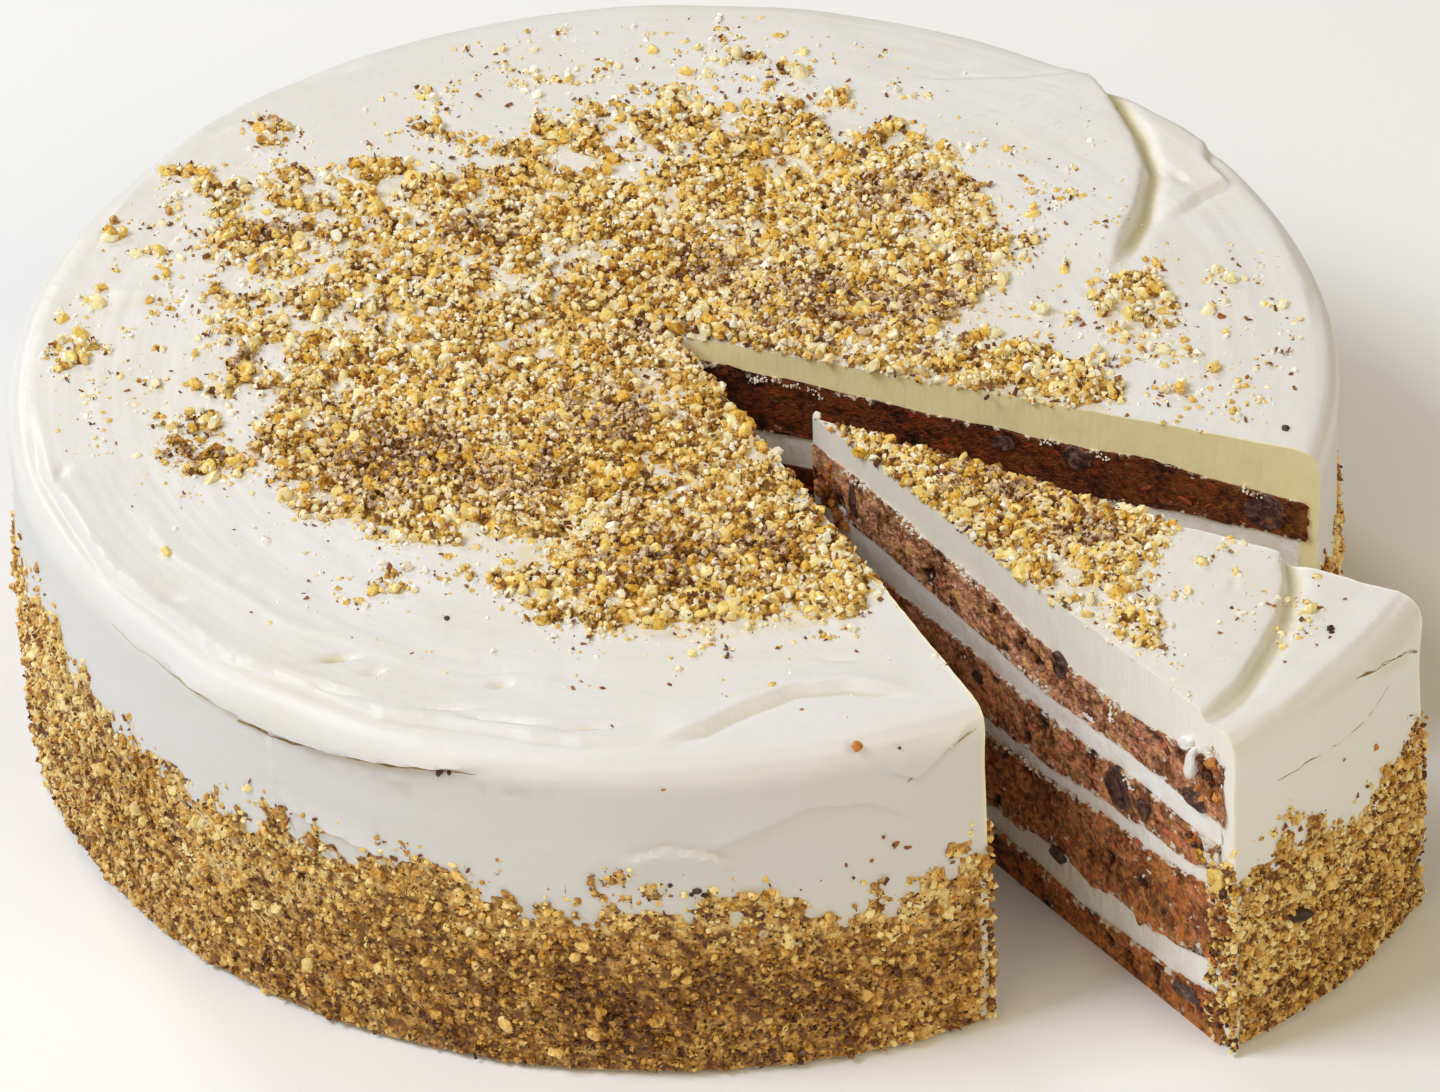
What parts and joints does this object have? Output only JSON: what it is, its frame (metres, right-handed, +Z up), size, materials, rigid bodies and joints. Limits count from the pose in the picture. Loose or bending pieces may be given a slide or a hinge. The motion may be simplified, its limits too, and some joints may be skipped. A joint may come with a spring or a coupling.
{
  "type": "carrot cake",
  "caption": "Round layered carrot cake with pale icing, chopped nuts on top and round the side, and one slice drawn partly out of its cut.",
  "frame": {"origin": "on the cake's vertical axis, in the plane of its underside", "axes": "+Z up; the slice comes out of the cut towards +X and -Y, and -Y is the front"},
  "size_m": [0.2734, 0.2658, 0.0759],
  "materials": {
    "sponge": "baked carrot sponge, brown, open crumb with orange shreds, matt",
    "filling": "soft cheese frosting cut with a knife, off-white, slightly glossy",
    "icing": "soft cheese frosting spread with a palette knife, off-white, satin",
    "chopped_nuts": "chopped walnut, pale golden flesh with dark brown skin flecks, matt",
    "raisins": "dark wrinkled raisin, satin",
    "grated_carrot": "baked carrot shred, orange-red, moist"
  },
  "bodies": {
    "root": {"sponge_1": "sponge", "filling_1": "filling", "sponge_2": "sponge", "filling_2": "filling", "sponge_3": "sponge", "filling_3": "filling", "sponge_4": "sponge", "icing": "icing", "slice_sponge_1": "sponge", "slice_filling_1": "filling", "slice_sponge_2": "sponge", "slice_filling_2": "filling", "slice_sponge_3": "sponge", "slice_filling_3": "filling", "slice_sponge_4": "sponge", "slice_icing": "icing"}
  },
  "joints": []
}
